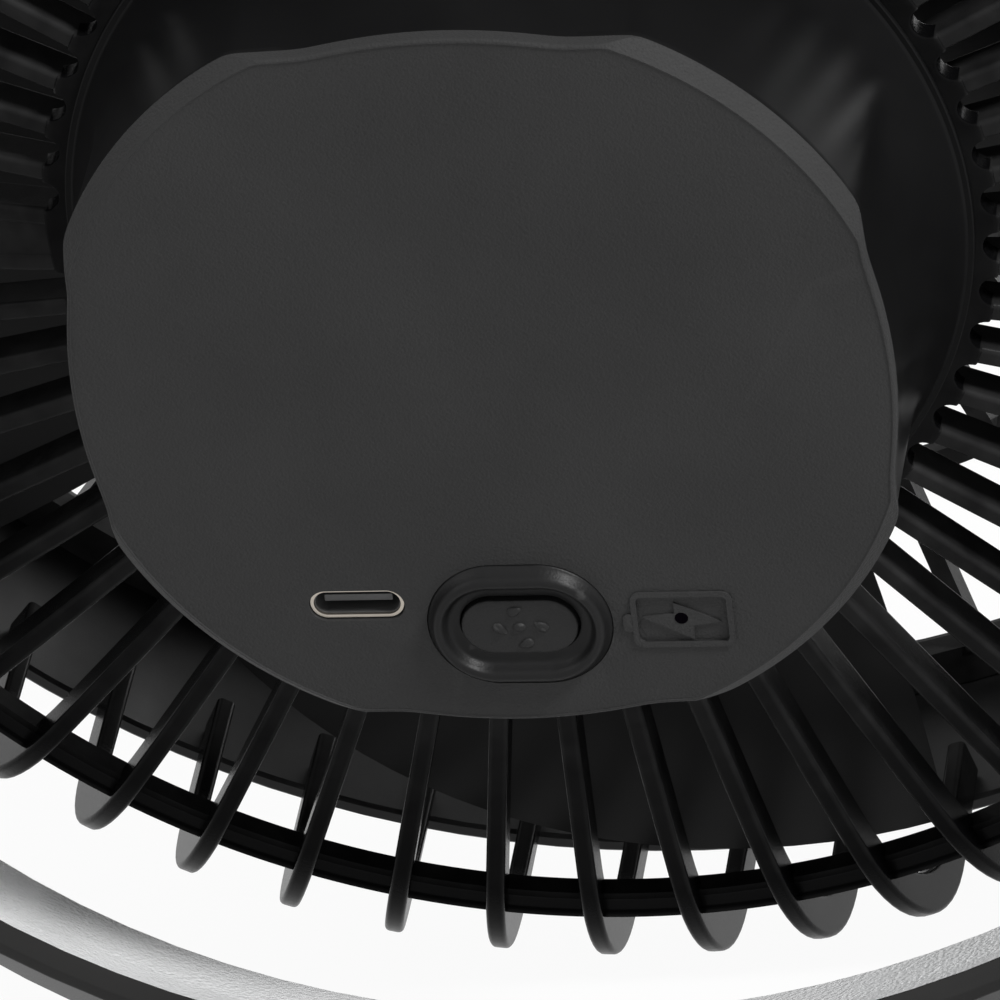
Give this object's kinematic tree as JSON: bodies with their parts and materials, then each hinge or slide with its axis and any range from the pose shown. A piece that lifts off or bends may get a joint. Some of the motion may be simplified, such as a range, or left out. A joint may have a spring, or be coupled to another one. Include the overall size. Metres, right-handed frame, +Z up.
{
  "type": "camping fan",
  "caption": "Cordless camping fan: a round caged head with a rear battery drum, swinging in a ring that is its stand and handle.",
  "frame": {"origin": "on the surface the fan stands on, under the middle of the whole object", "axes": "+Z up; air leaves towards -Y and upwards; the rear cover and its button face +Y; the ring pivots about X"},
  "size_m": [0.2438, 0.1614, 0.219],
  "materials": {
    "soft_touch": "soft-touch matte",
    "gloss_black": "gloss",
    "cage_black": "satin",
    "band_grey": "satin",
    "seal_rubber": "satin",
    "button_black": "satin",
    "switch_body": "matte",
    "clear_pipe": "clear",
    "socket_steel": "plated",
    "tongue_black": "matte",
    "board": "satin",
    "inner_plastic": "matte",
    "cell_wrap": "shrink wrap",
    "foam": "matte",
    "laminations": "satin",
    "copper": "enamelled",
    "bearing_steel": "ground",
    "hoop_black": "satin",
    "bright_liner": "blasted",
    "foot_rubber": "matte",
    "washer_grey": "satin",
    "blade_black": "satin",
    "magnet": "matte"
  },
  "bodies": {
    "head": {"rear_cover": "soft_touch", "hub_shell": "gloss_black", "rear_grille": "cage_black", "front_band": "band_grey", "front_grille": "cage_black", "front_cap": "soft_touch", "button_seal": "seal_rubber", "tact_switch": "switch_body", "charge_light_pipe": "clear_pipe", "usb_shell": "socket_steel", "usb_tongue": "tongue_black", "control_board": "board", "board_posts": "inner_plastic", "battery_tray": "inner_plastic", "battery_cells": "cell_wrap", "battery_pad": "foam", "stator": "laminations", "stator_coils": "copper", "motor_mount": "inner_plastic", "rear_bearing": "bearing_steel", "front_bearing": "bearing_steel", "left_pivot_pin": "bearing_steel", "right_pivot_pin": "bearing_steel", "left_friction_washer": "washer_grey", "right_friction_washer": "washer_grey", "mount_screws": "bearing_steel", "hub_screws": "bearing_steel"},
    "ring_stand": {"ring_hoop": "hoop_black", "ring_liner": "bright_liner", "ring_feet": "foot_rubber", "left_pivot_cap": "hoop_black", "right_pivot_cap": "hoop_black"},
    "rotor": {"impeller": "blade_black", "motor_shaft": "bearing_steel", "rotor_can": "bearing_steel", "rotor_magnets": "magnet", "blade_nut": "bearing_steel", "spinner_cap": "blade_black"},
    "button": {"power_button": "button_black"}
  },
  "joints": [
    {"name": "ring_swing", "type": "hinge", "parent": "head", "child": "ring_stand", "pos_m": [0, -0.01443, 0.11012], "axis": [1, 0, 0], "range_deg": [-139.5, 130.5]},
    {"name": "fan_spin", "type": "hinge", "parent": "head", "child": "rotor", "pos_m": [0, 0.00346, 0.10372], "axis": [0, -0.9415, 0.337], "continuous": true},
    {"name": "button_press", "type": "slide", "parent": "head", "child": "button", "axis": [0, -0.9415, 0.337], "range_m": [0, 0.0008], "stiffness_N_per_m": 800, "springref_m": -0.0005}
  ]
}
